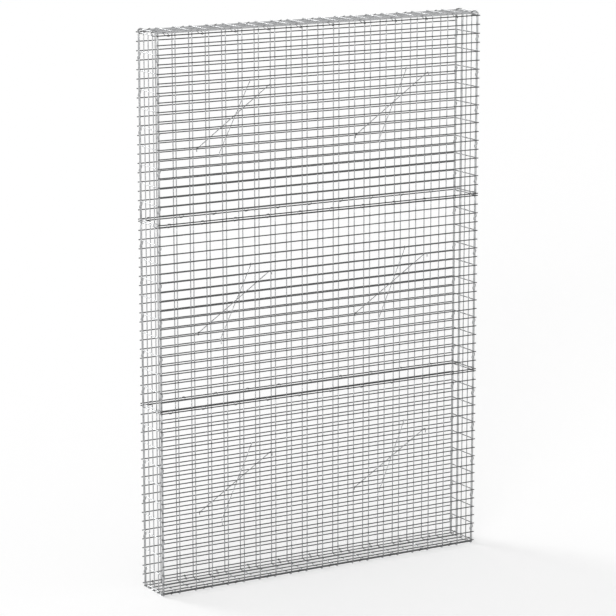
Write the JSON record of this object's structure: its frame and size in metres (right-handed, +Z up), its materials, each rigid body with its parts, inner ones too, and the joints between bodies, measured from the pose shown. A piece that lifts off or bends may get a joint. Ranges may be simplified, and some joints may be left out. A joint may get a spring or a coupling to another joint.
{
  "type": "empty gabion wall",
  "caption": "Tall, narrow gabion wall of stacked welded wire mesh cages, standing empty, with clipped panels, a mesh cover and crossed tie rods inside.",
  "frame": {"origin": "centre of the wall's footprint, on the ground", "axes": "+X along the wall to the right seen from the front, -Y towards the front, +Z up"},
  "size_m": [2.0278, 0.2508, 3.0679],
  "materials": {
    "mesh_wire": "dull zinc",
    "tie_rod": "dull zinc",
    "clip_wire": "dull zinc"
  },
  "bodies": {
    "root": {"front_panel_lower": "mesh_wire", "front_panel_middle": "mesh_wire", "front_panel_upper": "mesh_wire", "back_panel_lower": "mesh_wire", "back_panel_middle": "mesh_wire", "back_panel_upper": "mesh_wire", "left_side_lower": "mesh_wire", "left_side_middle": "mesh_wire", "left_side_upper": "mesh_wire", "right_side_lower": "mesh_wire", "right_side_middle": "mesh_wire", "right_side_upper": "mesh_wire", "base_panel": "mesh_wire", "top_cover": "mesh_wire", "tie_lower_left_a": "tie_rod", "tie_lower_left_b": "tie_rod", "tie_lower_right_a": "tie_rod", "tie_lower_right_b": "tie_rod", "tie_middle_left_a": "tie_rod", "tie_middle_left_b": "tie_rod", "tie_middle_right_a": "tie_rod", "tie_middle_right_b": "tie_rod", "tie_upper_left_a": "tie_rod", "tie_upper_left_b": "tie_rod", "tie_upper_right_a": "tie_rod", "tie_upper_right_b": "tie_rod", "front_joint_clips_lower": "clip_wire", "front_joint_clips_upper": "clip_wire", "back_joint_clips_lower": "clip_wire", "back_joint_clips_upper": "clip_wire", "left_joint_clips": "clip_wire", "right_joint_clips": "clip_wire", "front_cover_clips": "clip_wire", "back_cover_clips": "clip_wire", "left_cover_clips": "clip_wire", "right_cover_clips": "clip_wire", "front_base_clips": "clip_wire", "back_base_clips": "clip_wire", "left_base_clips": "clip_wire", "right_base_clips": "clip_wire", "front_left_corner_clips": "clip_wire", "front_right_corner_clips": "clip_wire", "back_left_corner_clips": "clip_wire", "back_right_corner_clips": "clip_wire"}
  },
  "joints": []
}
